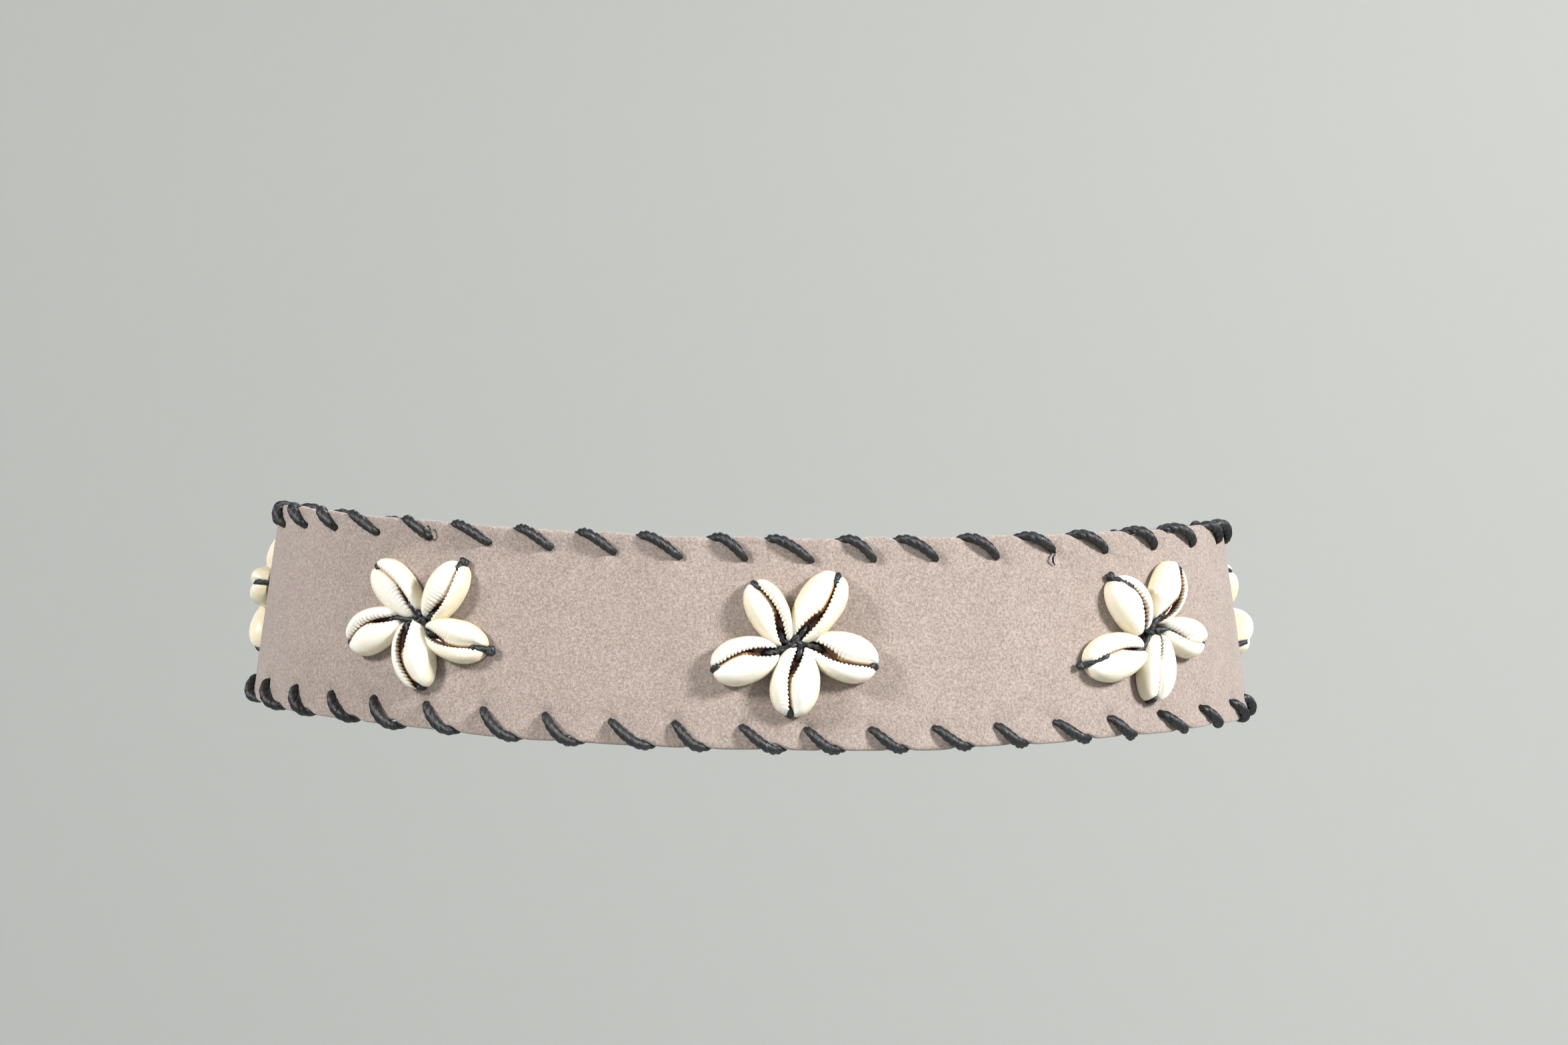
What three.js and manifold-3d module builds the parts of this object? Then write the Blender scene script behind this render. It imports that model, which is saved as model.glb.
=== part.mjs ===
// A suede waist belt with seven flowers of split cowrie shells, worn round the body as one closed loop.
// Millimetres, +Z up. The front faces -Y and +X is to the right of it. The origin is the middle of the
// waist, at half the band's height.

import * as THREE from "three";
import { mergeVertices } from "three/addons/utils/BufferGeometryUtils.js";
import Module from "manifold-3d";

const wasm = await Module();
wasm.setup();

// Waist loop, measured to the middle of the suede at half its height
const waistHalfWidth = 134;
const waistHalfDepth = 78.5;
const frontDip = 3.3; // the front hangs this much lower than the mean, the sides ride this much higher
const backDrop = 3.5; // the back hangs this much lower than the front
const sideDrop = 2.6; // the right side hangs this much lower than the mean, the left side as much higher

// Suede band
const bandWidth = 54;
const bandThick = 2;
const bandFlare = 8; // degrees that the band leans in towards its top edge, as a waist does
const bandSteps = 88;
const lapLength = 30; // the two ends overlap this far at the back
const lapRamp = 11; // the outer end climbs onto the inner one over this length

// Cowrie shells, cut flat at the back, with the slit facing out
const shellLength = 17.5;
const shellWidth = 11;
const shellHeight = 6.5;
const shellFloor = 1.1; // shell left under the slit
const slitBow = 1.5; // the slit bends this far towards the toothed lip
const petalStart = 2.8; // from the middle of the knot to the nearest shell

// Waxed cord that ties each flower
const cordDiameter = 1.6;
const cordSides = 5;

// Stud that closes the two ends
const studPost = 4;
const studHead = 12;
const studHeadThick = 1.2;
const studDome = 1;
const studSides = 14;

const gap = 0.3; // between pieces that touch
const patternShift = 12; // the front flower sits this far to the right of the waist's middle

const cordRadius = cordDiameter / 2;
const slitHalf = cordRadius + gap;
const knotRadius = cordRadius * 1.1;
const lean = THREE.MathUtils.degToRad(bandFlare);
const halfBand = bandWidth / 2;
const halfThick = bandThick / 2;

// Sections of a shell from its inner end to its outer tip: place along the length, and width and height
// as shares of the full ones, the width measured outside the slit
const shellSections = [
  { along: 0.0, wide: 0.08, high: 0.42 },
  { along: 0.07, wide: 0.28, high: 0.62 },
  { along: 0.22, wide: 0.66, high: 0.86 },
  { along: 0.42, wide: 0.95, high: 1.0 },
  { along: 0.62, wide: 1.0, high: 0.99 },
  { along: 0.8, wide: 0.82, high: 0.86 },
  { along: 0.93, wide: 0.48, high: 0.62 },
  { along: 1.0, wide: 0.14, high: 0.4 },
];

// One side of a shell's section, from the flat back round to the lip: place from the slit's edge to the
// shell's side, and height
const shellSide = [
  { out: 0.74, up: 0.0 },
  { out: 1.0, up: 0.4 },
  { out: 0.68, up: 0.83 },
  { out: 0.24, up: 1.0 },
  { out: 0.0, up: 0.92 },
];

// Petals of the four ways in which the flowers are tied. Directions are in degrees from the belt's right:
// where a shell's middle lies from the knot, and where its tip points. Then the start as a share of
// petalStart, and the length and width as shares of a shell's.
const evenFlower = [
  { at: 269, turn: 261, start: 0.42, long: 1.01, wide: 1.13 },
  { at: 344, turn: 341, start: 1.31, long: 1.02, wide: 1.13 },
  { at: 58, turn: 57, start: 0.6, long: 1.1, wide: 1.07 },
  { at: 134, turn: 117, start: 0.72, long: 1.00, wide: 0.89 },
  { at: 200, turn: 196, start: 1.81, long: 0.99, wide: 1.10 },
];
const wideFlower = [
  { at: 258, turn: 282, start: 0.6, long: 1.00, wide: 1.05 },
  { at: 335, turn: 346, start: 0.68, long: 1.03, wide: 1.00 },
  { at: 52, turn: 60, start: 0.58, long: 0.96, wide: 0.95 },
  { at: 139, turn: 138, start: 0.85, long: 1.04, wide: 1.08 },
  { at: 196, turn: 204, start: 2.54, long: 0.94, wide: 1.05 },
];
const looseFlower = [
  { at: 275, turn: 259, start: 0.95, long: 1.00, wide: 0.98 },
  { at: 347, turn: 343, start: 1.43, long: 0.87, wide: 0.96 },
  { at: 57, turn: 58, start: 1.05, long: 1.01, wide: 1.01 },
  { at: 133, turn: 119, start: 0.7, long: 0.93, wide: 1.10 },
  { at: 206, turn: 191, start: 1.55, long: 1.08, wide: 1.14 },
];
const turnedFlower = [
  { at: 310, turn: 306, start: 0.71, long: 0.98, wide: 1.00 },
  { at: 13, turn: 13, start: 1.45, long: 0.98, wide: 1.02 },
  { at: 80, turn: 84, start: 0.86, long: 0.96, wide: 0.96 },
  { at: 152, turn: 150, start: 0.86, long: 0.98, wide: 1.00 },
  { at: 231, turn: 235, start: 1.1, long: 1.00, wide: 1.02 },
];

// Flowers round the belt: steps from the front one, how they are tied, and height above the band's middle
// as a share of its width
const flowers = [
  { name: "back_left", step: -3.08, petals: looseFlower, rise: 0 },
  { name: "side_left", step: -2.06, petals: turnedFlower, rise: 0 },
  { name: "front_left", step: -1, petals: wideFlower, rise: 0.02 },
  { name: "front", step: 0, petals: evenFlower, rise: 0 },
  { name: "front_right", step: 1, petals: looseFlower, rise: 0 },
  { name: "side_right", step: 1.88, petals: wideFlower, rise: 0 },
  { name: "back_right", step: 2.9, petals: evenFlower, rise: 0 },
];

const suede = new THREE.MeshStandardMaterial({ color: 0xc3b4aa, roughness: 0.95, metalness: 0 });
const shell = new THREE.MeshStandardMaterial({ color: 0xf5efdf, roughness: 0.25, metalness: 0 });
const waxedCord = new THREE.MeshStandardMaterial({ color: 0x17181b, roughness: 0.45, metalness: 0 });
const studMetal = new THREE.MeshStandardMaterial({ color: 0x6f5a3c, roughness: 0.4, metalness: 1 });

// The waist line, from the middle of the front round by the right
const waistLine = new THREE.EllipseCurve(
  0, 0, waistHalfWidth, waistHalfDepth, -Math.PI / 2, 1.5 * Math.PI,
);
waistLine.arcLengthDivisions = 2000;
const waistRound = waistLine.getLength();
const flowerPitch = waistRound / flowers.length;
const closing = patternShift + waistRound / 2;
const lapRise = bandThick + gap;
const lapThick = lapRise + bandThick;

// How far out the band runs at a distance from the front: one layer further where it laps over its other end
function lapAt(distance) {
  const climbEnd = closing - lapLength / 2;
  return lapRise * THREE.MathUtils.smoothstep(distance, climbEnd - lapRamp, climbEnd);
}

// The frame of the band's middle layer at a distance from the front and a height on the band
function bandFrame(distance, height, out = 0) {
  const share = THREE.MathUtils.euclideanModulo(distance / waistRound, 1);
  const middle = waistLine.getPointAt(share);
  const tangent = waistLine.getTangentAt(share);
  const along = new THREE.Vector3(tangent.x, tangent.y, 0);
  const level = new THREE.Vector3(tangent.y, -tangent.x, 0);
  const up = new THREE.Vector3(0, 0, Math.cos(lean)).addScaledVector(level, -Math.sin(lean));
  const facing = along.clone().cross(up);
  const sideways = middle.x / waistHalfWidth;
  const backwards = Math.max(middle.y, 0) / waistHalfDepth;
  const drop =
    frontDip * (2 * sideways * sideways - 1) - sideDrop * sideways - backDrop * backwards * backwards;
  const place = new THREE.Vector3(middle.x, middle.y, drop)
    .addScaledVector(up, height)
    .addScaledVector(facing, out + lapAt(distance));
  return new THREE.Matrix4().makeBasis(along, up, facing).setPosition(place);
}

// A closed solid through rings of equal numbers of points, each counterclockwise seen from the last ring
function loft(rings, capOutline) {
  const sides = rings[0].length;
  const last = (rings.length - 1) * sides;
  const index = [];
  for (let ring = 0; ring < last; ring += sides) {
    for (let side = 0; side < sides; side += 1) {
      const next = (side + 1) % sides;
      index.push(ring + side, ring + next, ring + sides + next);
      index.push(ring + side, ring + sides + next, ring + sides + side);
    }
  }
  for (const [a, b, c] of THREE.ShapeUtils.triangulateShape(capOutline, [])) {
    index.push(c, b, a, last + a, last + b, last + c);
  }
  const geometry = new THREE.BufferGeometry().setFromPoints(rings.flat());
  geometry.setIndex(index);
  geometry.computeVertexNormals();
  return geometry;
}

function toSolid(geometry) {
  const bare = geometry.clone();
  bare.deleteAttribute("normal");
  bare.deleteAttribute("uv");
  const merged = mergeVertices(bare, 1e-4);
  return new wasm.Manifold(
    new wasm.Mesh({
      numProp: 3,
      vertProperties: merged.attributes.position.array,
      triVerts: new Uint32Array(merged.index.array),
    }),
  );
}

function toGeometry(solid) {
  const mesh = solid.getMesh();
  const geometry = new THREE.BufferGeometry();
  geometry.setAttribute("position", new THREE.BufferAttribute(mesh.vertProperties, 3));
  geometry.setIndex(new THREE.BufferAttribute(mesh.triVerts, 1));
  geometry.computeVertexNormals();
  return geometry;
}

// Stud with a flat head inside the band and a domed one outside, its axis along +Z from the inner face
function studGeometry() {
  const innerFace = -gap;
  const outerFace = lapThick + gap;
  const profile = [
    new THREE.Vector2(0, innerFace - studHeadThick),
    new THREE.Vector2(studHead / 2, innerFace - studHeadThick),
    new THREE.Vector2(studHead / 2, innerFace),
    new THREE.Vector2(studPost / 2, innerFace),
    new THREE.Vector2(studPost / 2, outerFace),
    new THREE.Vector2(studHead / 2, outerFace),
    new THREE.Vector2(studHead / 2, outerFace + studHeadThick / 2),
    new THREE.Vector2(studHead / 4, outerFace + studHeadThick / 2 + studDome * 0.75),
    new THREE.Vector2(0, outerFace + studHeadThick / 2 + studDome),
  ];
  return new THREE.LatheGeometry(profile, studSides).rotateX(Math.PI / 2);
}

// Where the stud stands: on the inner face of the band, halfway between the two back flowers
function studFrame() {
  return bandFrame(closing, 0, -halfThick - lapRise);
}

function bandGeometry() {
  const start = closing - waistRound - lapLength / 2;
  const length = waistRound + lapLength;
  const corners = [
    new THREE.Vector2(-halfBand, -halfThick),
    new THREE.Vector2(halfBand, -halfThick),
    new THREE.Vector2(halfBand, halfThick),
    new THREE.Vector2(-halfBand, halfThick),
  ];
  const rings = [];
  for (let step = 0; step <= bandSteps; step += 1) {
    const frame = bandFrame(start + (length * step) / bandSteps, 0);
    rings.push(corners.map((corner) => new THREE.Vector3(0, corner.x, corner.y).applyMatrix4(frame)));
  }
  const holeRadius = studPost / 2 + gap;
  const hole = new THREE.CylinderGeometry(holeRadius, holeRadius, 3 * lapThick, studSides)
    .rotateX(Math.PI / 2)
    .applyMatrix4(studFrame());
  return toGeometry(toSolid(loft(rings, corners)).subtract(toSolid(hole)));
}

// How far the slit lies to one side of the shell's middle
function slitShift(along) {
  return -slitBow * Math.sin(Math.PI * along);
}

// A shell along +X from its inner end, its flat back at z = 0
function shellGeometry(length, width) {
  const outlines = shellSections.map((section) => {
    const middle = slitShift(section.along);
    const half = slitHalf + (width / 2 - slitHalf) * section.wide;
    const left = shellSide.map(
      (point) =>
        new THREE.Vector2(
          middle + slitHalf + (half - middle - slitHalf) * point.out,
          shellHeight * section.high * point.up,
        ),
    );
    const right = shellSide.map(
      (point) =>
        new THREE.Vector2(
          middle - slitHalf - (half + middle - slitHalf) * point.out,
          shellHeight * section.high * point.up,
        ),
    );
    left.push(new THREE.Vector2(middle + slitHalf, shellFloor));
    right.push(new THREE.Vector2(middle - slitHalf, shellFloor));
    return [...left, ...right.reverse()];
  });
  const rings = outlines.map((outline, i) =>
    outline.map((point) => new THREE.Vector3(length * shellSections[i].along, point.x, point.y)),
  );
  return loft(rings, outlines[0]);
}

// One petal's frame: on the band's face, +X from the flower's middle outwards, the origin at the inner end
function petalFrame(flower, petal) {
  const at = THREE.MathUtils.degToRad(petal.at);
  const length = shellLength * petal.long;
  const centre = petalStart * petal.start + length / 2;
  const middle = flowerPlace(flower);
  return bandFrame(
    middle.distance + centre * Math.cos(at),
    middle.height + centre * Math.sin(at),
    halfThick + gap,
  )
    .multiply(new THREE.Matrix4().makeRotationZ(THREE.MathUtils.degToRad(petal.turn)))
    .multiply(new THREE.Matrix4().makeTranslation(-length / 2, 0, 0));
}

function flowerPlace(flower) {
  return {
    distance: patternShift + flowerPitch * flower.step,
    height: bandWidth * flower.rise,
  };
}

// The arm of a flower's cord that runs from the knot through one shell's slit, over its tip and down
function armSolid(knotMiddle, petal, frame) {
  const length = shellLength * petal.long;
  const level = shellFloor + slitHalf;
  const clear = slitHalf + gap / 2;
  const run = [-0.05, 0.04, 0.5, 1.0].map(
    (along) => new THREE.Vector3(length * along, slitShift(along), level),
  );
  run.push(new THREE.Vector3(length + clear, 0, shellFloor));
  run.push(new THREE.Vector3(length + clear, 0, 0));
  const middles = [knotMiddle, ...run.map((point) => point.applyMatrix4(frame))];
  const across = new THREE.Vector3().setFromMatrixColumn(frame, 1);
  const circle = new THREE.EllipseCurve(0, 0, cordRadius, cordRadius).getPoints(cordSides);
  circle.pop();
  const rings = middles.map((middle, i) => {
    const before = middles[Math.max(i - 1, 0)];
    const after = middles[Math.min(i + 1, middles.length - 1)];
    const direction = after.clone().sub(before).normalize();
    const sideways = across.clone().addScaledVector(direction, -across.dot(direction)).normalize();
    const upward = direction.clone().cross(sideways);
    return circle.map((point) =>
      middle.clone().addScaledVector(sideways, point.x).addScaledVector(upward, point.y),
    );
  });
  return toSolid(loft(rings, circle));
}

function flowerCordGeometry(flower) {
  const place = flowerPlace(flower);
  const frame = bandFrame(place.distance, place.height, halfThick + gap + knotRadius);
  const knotMiddle = new THREE.Vector3().setFromMatrixPosition(frame);
  let cord = toSolid(new THREE.SphereGeometry(knotRadius, 6, 4).applyMatrix4(frame));
  for (const petal of flower.petals) {
    cord = cord.add(armSolid(knotMiddle, petal, petalFrame(flower, petal)));
  }
  return toGeometry(cord);
}

const belt = new THREE.Group();

function addPiece(name, geometry, material, frame) {
  const mesh = new THREE.Mesh(geometry, material);
  mesh.name = name;
  if (frame) {
    mesh.applyMatrix4(frame);
  }
  belt.add(mesh);
}

addPiece("band", bandGeometry(), suede);
addPiece("closing_stud", studGeometry(), studMetal, studFrame());
for (const flower of flowers) {
  addPiece(`flower_cord_${flower.name}`, flowerCordGeometry(flower), waxedCord);
  flower.petals.forEach((petal, i) => {
    const geometry = shellGeometry(shellLength * petal.long, shellWidth * petal.wide);
    addPiece(`cowrie_${flower.name}_${i + 1}`, geometry, shell, petalFrame(flower, petal));
  });
}

export default belt;
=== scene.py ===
# Suede waist belt with cowrie shell flowers: the looks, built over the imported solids

import bisect
import math
import random
from collections import namedtuple

import bmesh
import bpy
from mathutils import Matrix, Vector, noise


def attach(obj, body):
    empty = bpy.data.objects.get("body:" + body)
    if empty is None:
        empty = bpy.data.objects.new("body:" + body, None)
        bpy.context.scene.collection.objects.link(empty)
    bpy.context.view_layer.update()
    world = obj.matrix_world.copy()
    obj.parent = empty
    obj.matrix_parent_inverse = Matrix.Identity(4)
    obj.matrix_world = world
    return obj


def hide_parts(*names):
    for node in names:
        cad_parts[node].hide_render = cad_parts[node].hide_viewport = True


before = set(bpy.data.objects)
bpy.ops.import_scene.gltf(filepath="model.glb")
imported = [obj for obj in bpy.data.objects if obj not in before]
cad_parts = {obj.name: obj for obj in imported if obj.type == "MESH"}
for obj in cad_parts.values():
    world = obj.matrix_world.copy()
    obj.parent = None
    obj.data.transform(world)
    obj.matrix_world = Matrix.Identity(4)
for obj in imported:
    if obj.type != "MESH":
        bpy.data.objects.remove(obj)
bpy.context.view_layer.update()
random.seed(11)

mm = 0.001  # the scene is in metres, and some tables are in millimetres


# The loop that the belt follows

waist = {
    "halfWidth": 0.134,  # to the middle of the suede, at half the band's height
    "halfDepth": 0.0785,
    "frontDip": 0.0033,
    "backDrop": 0.0035,
    "sideDrop": 0.0026,
    "lean": math.radians(8),  # the band leans in towards its top
    "samples": 3600,
    "patternShift": 0.012,  # the front flower stands to the right of the middle
    "flowerCount": 7,
    "gap": 0.0003,
}

band = {
    "width": 0.054,
    "thick": 0.002,
    "lapLength": 0.03,
    "lapRamp": 0.011,
    "facesAlong": 640,
    "facesUp": 38,
    "waveSize": 0.00045,  # slack in the suede
    "edgeWave": 0.0005,
    "stitchDent": 0.0014,  # the cord presses the edge in this far
    "stitchDentReach": 0.0022,
    "holeDent": 0.001,
    "holeReach": 0.0018,
    "edgeRound": 0.0007,
}

# The whip stitch
lacing = {
    "edges": [
        {
            "name": "top",
            "first": -0.0003,  # the first hole's distance from the middle of the front
            "holes": 41,  # round the whole loop
            "depth": 0.0056,  # of a hole below the edge
            "side": 1,
            "way": -1,  # a stitch runs to the left of its hole, seen from the front
            "crest": 0.52,  # where it crosses the edge, as a share of the pitch
        },
        {
            "name": "bottom",
            "first": -0.0018,
            "holes": 42,
            "depth": 0.0054,
            "side": -1,
            "way": 1,
            "crest": 0.46,
        },
    ],
    "strays": {  # holes punched off their place: millimetres to the right, and deeper
        ("top", -8): (-0.6, -0.8),
        ("top", -7): (-2.8, -1.2),
        ("top", -6): (-3.3, -1.2),
        ("top", -5): (-2.9, -1.2),
        ("top", -4): (-2.0, -1.1),
        ("top", -3): (-1.3, -0.9),
        ("top", -2): (-0.8, -0.6),
        ("top", -1): (-0.2, 0.0),
        ("top", 1): (0.5, 0.3),
        ("top", 5): (-0.3, -1.3),
        ("top", 6): (-0.2, -0.4),
        ("top", 7): (0.1, -0.5),
        ("top", 8): (0, -0.4),
        ("top", 9): (0.6, -0.5),
        ("bottom", -11): (1.5, 0.0),
        ("bottom", -10): (2.8, 0.5),
        ("bottom", -9): (3.5, 0.8),
        ("bottom", -8): (2.8, 0.9),
        ("bottom", -7): (0.9, 0.9),
        ("bottom", -6): (-1.0, 1.3),
        ("bottom", -5): (-1.4, 1.4),
        ("bottom", -4): (-1.6, 1.4),
        ("bottom", -3): (-1.1, 1.3),
        ("bottom", -2): (-0.4, 0.7),
        ("bottom", -1): (-0.4, 1.0),
        ("bottom", 0): (0, 0.5),
    },
    "crestDrift": 0.08,  # how far crossings stray, as a share of the pitch
    "tails": [  # loose strands at a hole: its edge and number, then places along, up and out in millimetres
        (
            "top",
            -5,
            [
                (0, 0, 0.6),
                (0.8, 0.1, 2.2),
                (1.2, 0.9, 2.6),
                (0.9, 2.2, 2.7),
                (0.3, 2.8, 2.5),
                (-0.2, 2.5, 2.2),
            ],
        ),
        ("top", 5, [(0, 0, 0.6), (-0.7, -1.0, 2.2), (-1.5, -2.2, 2.4), (-1.2, -3.4, 1.9), (-0.6, -4.0, 1.6)]),
    ],
    "tailRadius": 0.00034,
    "tailStep": 0.0004,
    "tailLay": 0.002,
    "cordRadius": 0.00125,
    "layLength": 0.0064,
    "step": 0.00055,
    "endKnot": {"in": 0.0015, "size": 0.0026, "step": 0.0005, "radius": 0.001, "layLength": 0.006},
    # Each row: the stage, which is 0 at the hole, 1 on the edge and 2 at the next hole; the rise from the
    # hole's depth to the edge; how far out of the suede; and how thick the cord is
    "route": [
        (0.0, 0.0, 0.0, 0.7),
        (0.05, 0.02, 0.5, 0.78),
        (0.16, 0.13, 0.93, 0.92),
        (0.4, 0.46, 1.02, 1.12),
        (0.65, 0.74, 0.98, 1.16),
        (0.83, 0.88, 0.78, 1.08),
        (1.0, 0.94, 0.25, 1.0),
        (1.2, 0.86, -0.45, 0.95),
        (1.5, 0.6, -0.95, 0.95),
        (1.75, 0.3, -1.0, 0.9),
        (1.95, 0.04, -0.75, 0.78),
    ],
    "lapMargin": 0.004,  # no stitch stands nearer than this to the lap
}


def measureWaist():
    lengths = [0.0]
    last = waistPoint(0)
    for i in range(1, waist["samples"] + 1):
        point = waistPoint(2 * math.pi * i / waist["samples"])
        lengths.append(lengths[-1] + (point - last).length)
        last = point
    return lengths


def waistPoint(angle):  # angle 0 is the middle of the front, and it grows to the right
    return Vector((waist["halfWidth"] * math.sin(angle), -waist["halfDepth"] * math.cos(angle), 0))


waistLengths = measureWaist()
waistRound = waistLengths[-1]
closing = waist["patternShift"] + waistRound / 2
lapRise = band["thick"] + waist["gap"]
halfThick = band["thick"] / 2
halfBand = band["width"] / 2


def smoothStep(value, low, high):
    share = min(max((value - low) / (high - low), 0.0), 1.0)
    return share * share * (3 - 2 * share)


def lapAt(distance):  # the outer end climbs onto the inner one
    climbEnd = closing - band["lapLength"] / 2
    return lapRise * smoothStep(distance, climbEnd - band["lapRamp"], climbEnd)


def bandAxes(distance):  # the band's middle there, and its directions along, up and out
    position = (distance / waistRound) % 1 * waistRound
    i = max(bisect.bisect_right(waistLengths, position) - 1, 0)
    i = min(i, waist["samples"] - 1)
    part = (position - waistLengths[i]) / (waistLengths[i + 1] - waistLengths[i])
    angle = 2 * math.pi * (i + part) / waist["samples"]
    middle = waistPoint(angle)
    along = Vector((waist["halfWidth"] * math.cos(angle), waist["halfDepth"] * math.sin(angle), 0))
    along.normalize()
    level = Vector((along.y, -along.x, 0))
    up = Vector((0, 0, math.cos(waist["lean"]))) - level * math.sin(waist["lean"])
    sideways = middle.x / waist["halfWidth"]
    backwards = max(middle.y, 0) / waist["halfDepth"]
    middle.z = waist["frontDip"] * (2 * sideways * sideways - 1) - waist["sideDrop"] * sideways
    middle.z -= waist["backDrop"] * backwards * backwards
    return middle, along, up, along.cross(up)


def bandPlace(distance, height, out=0.0):
    middle, _, up, facing = bandAxes(distance)
    return middle + up * height + facing * (out + lapAt(distance))


def bandFrame(distance, height, out=0.0):
    middle, along, up, facing = bandAxes(distance)
    matrix = Matrix((along, up, facing)).transposed().to_4x4()
    matrix.translation = middle + up * height + facing * (out + lapAt(distance))
    return matrix


# Helpers for meshes


def deselectAll():
    for thing in bpy.context.selected_objects:
        thing.select_set(False)


def startMesh(name, points, faces):
    mesh = bpy.data.meshes.new(name)
    mesh.from_pydata(points, [], faces)
    piece = bpy.data.objects.new(name, mesh)
    bpy.context.collection.objects.link(piece)
    return piece


def useOnly(piece):
    deselectAll()
    piece.select_set(True)
    bpy.context.view_layer.objects.active = piece


def applyModifiers(piece):
    useOnly(piece)
    for modifier in list(piece.modifiers):
        bpy.ops.object.modifier_apply(modifier=modifier.name)


def finishPiece(piece, material, replaced=()):
    piece.data.materials.clear()
    piece.data.materials.append(material)
    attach(piece, "root")
    if replaced:
        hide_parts(*replaced)


# Helpers for materials


def newMaterial(name):
    material = bpy.data.materials.new(name)
    material.use_nodes = True
    tree = material.node_tree
    shader = tree.nodes["Principled BSDF"]
    return material, tree, shader


def addNode(tree, kind, settings=None, inputs=None):
    node = tree.nodes.new(kind)
    for key, value in (settings or {}).items():
        setattr(node, key, value)
    for key, value in (inputs or {}).items():
        if isinstance(value, bpy.types.NodeSocket):
            tree.links.new(value, node.inputs[key])
        else:
            node.inputs[key].default_value = value
    return node


def makeGrainGroup():  # even grain made of two sizes of noise, used by every finish
    group = bpy.data.node_groups.new("grain", "ShaderNodeTree")
    group.interface.new_socket("Vector", in_out="INPUT", socket_type="NodeSocketVector")
    group.interface.new_socket("Fine Scale", in_out="INPUT", socket_type="NodeSocketFloat")
    group.interface.new_socket("Coarse Scale", in_out="INPUT", socket_type="NodeSocketFloat")
    group.interface.new_socket("Coarse Share", in_out="INPUT", socket_type="NodeSocketFloat")
    group.interface.new_socket("Grain", in_out="OUTPUT", socket_type="NodeSocketFloat")
    entry = group.nodes.new("NodeGroupInput")
    leave = group.nodes.new("NodeGroupOutput")
    fine = addNode(
        group,
        "ShaderNodeTexNoise",
        inputs={
            "Vector": entry.outputs["Vector"],
            "Scale": entry.outputs["Fine Scale"],
            "Detail": 2.0,
            "Roughness": 0.6,
        },
    )
    coarse = addNode(
        group,
        "ShaderNodeTexNoise",
        inputs={
            "Vector": entry.outputs["Vector"],
            "Scale": entry.outputs["Coarse Scale"],
            "Detail": 3.0,
            "Roughness": 0.55,
        },
    )
    both = addNode(
        group,
        "ShaderNodeMix",
        {"data_type": "FLOAT"},
        {0: entry.outputs["Coarse Share"], 2: fine.outputs["Fac"], 3: coarse.outputs["Fac"]},
    )
    group.links.new(both.outputs[0], leave.inputs["Grain"])
    return group


grainGroup = makeGrainGroup()


def addGrain(tree, vector, fine, coarse, share):
    node = addNode(tree, "ShaderNodeGroup", {"node_tree": grainGroup})
    tree.links.new(vector, node.inputs["Vector"])
    node.inputs["Fine Scale"].default_value = fine
    node.inputs["Coarse Scale"].default_value = coarse
    node.inputs["Coarse Share"].default_value = share
    return node.outputs["Grain"]


def addRamp(tree, factor, stops):
    node = addNode(tree, "ShaderNodeValToRGB", inputs={"Fac": factor})
    ramp = node.color_ramp
    while len(ramp.elements) < len(stops):
        ramp.elements.new(0.5)
    for element, (place, colour) in zip(ramp.elements, stops):
        element.position = place
        element.color = (*colour, 1)
    return node.outputs["Color"]


def addColourMix(tree, factor, first, second, blend="MIX"):
    node = addNode(tree, "ShaderNodeMix", {"data_type": "RGBA", "blend_type": blend})
    for place, value in ((0, factor), (6, first), (7, second)):
        if isinstance(value, bpy.types.NodeSocket):
            tree.links.new(value, node.inputs[place])
        elif place == 0:
            node.inputs[place].default_value = value
        else:
            node.inputs[place].default_value = (*value, 1)
    return node.outputs[2]


def addBump(tree, shader, height, strength, distance):
    inputs = {"Height": height, "Strength": strength, "Distance": distance}
    node = addNode(tree, "ShaderNodeBump", inputs=inputs)
    tree.links.new(node.outputs["Normal"], shader.inputs["Normal"])


def addRange(tree, value, limits, results=(0.0, 1.0)):  # moves what lies in the limits into the results
    inputs = {"Value": value, "From Min": limits[0], "From Max": limits[1]}
    inputs.update({"To Min": results[0], "To Max": results[1]})
    return addNode(tree, "ShaderNodeMapRange", inputs=inputs).outputs["Result"]


suedeLook = {
    "dark": (0.18, 0.14, 0.122),
    "body": (0.3, 0.243, 0.214),
    "light": (0.43, 0.365, 0.33),
    "fibre": 4000.0,
    "clump": 1450.0,
    "patch": 55.0,
    "roughness": 0.95,
    "sheen": 0.24,
}


def makeSuede():
    material, tree, shader = newMaterial("suede")
    place = addNode(tree, "ShaderNodeTexCoord").outputs["Object"]
    fibre = addGrain(tree, place, suedeLook["fibre"], suedeLook["clump"], 0.48)
    patch = addGrain(tree, place, suedeLook["patch"] * 4, suedeLook["patch"], 0.6)
    nap = addRamp(
        tree,
        fibre,
        [(0.34, suedeLook["dark"]), (0.5, suedeLook["body"]), (0.66, suedeLook["light"])],
    )
    cloud = addRamp(tree, patch, [(0.3, (0.92, 0.91, 0.9)), (0.7, (1.05, 1.05, 1.05))])
    colour = addColourMix(tree, 1.0, nap, cloud, "MULTIPLY")
    tree.links.new(colour, shader.inputs["Base Color"])
    shader.inputs["Roughness"].default_value = suedeLook["roughness"]
    shader.inputs["Specular IOR Level"].default_value = 0.15
    shader.inputs["Sheen Weight"].default_value = suedeLook["sheen"]
    shader.inputs["Sheen Roughness"].default_value = 0.6
    addBump(tree, shader, fibre, 0.7, 0.00035)
    return material


cordLook = {
    "deep": (0.002, 0.0022, 0.003),
    "body": (0.006, 0.007, 0.009),
    # lighter grey wax flecks, which also serve as a painted highlight on the raised strands
    "wax_and_painted_highlight": (0.045, 0.048, 0.058),
    "roughness": (0.34, 0.6),
}


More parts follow.
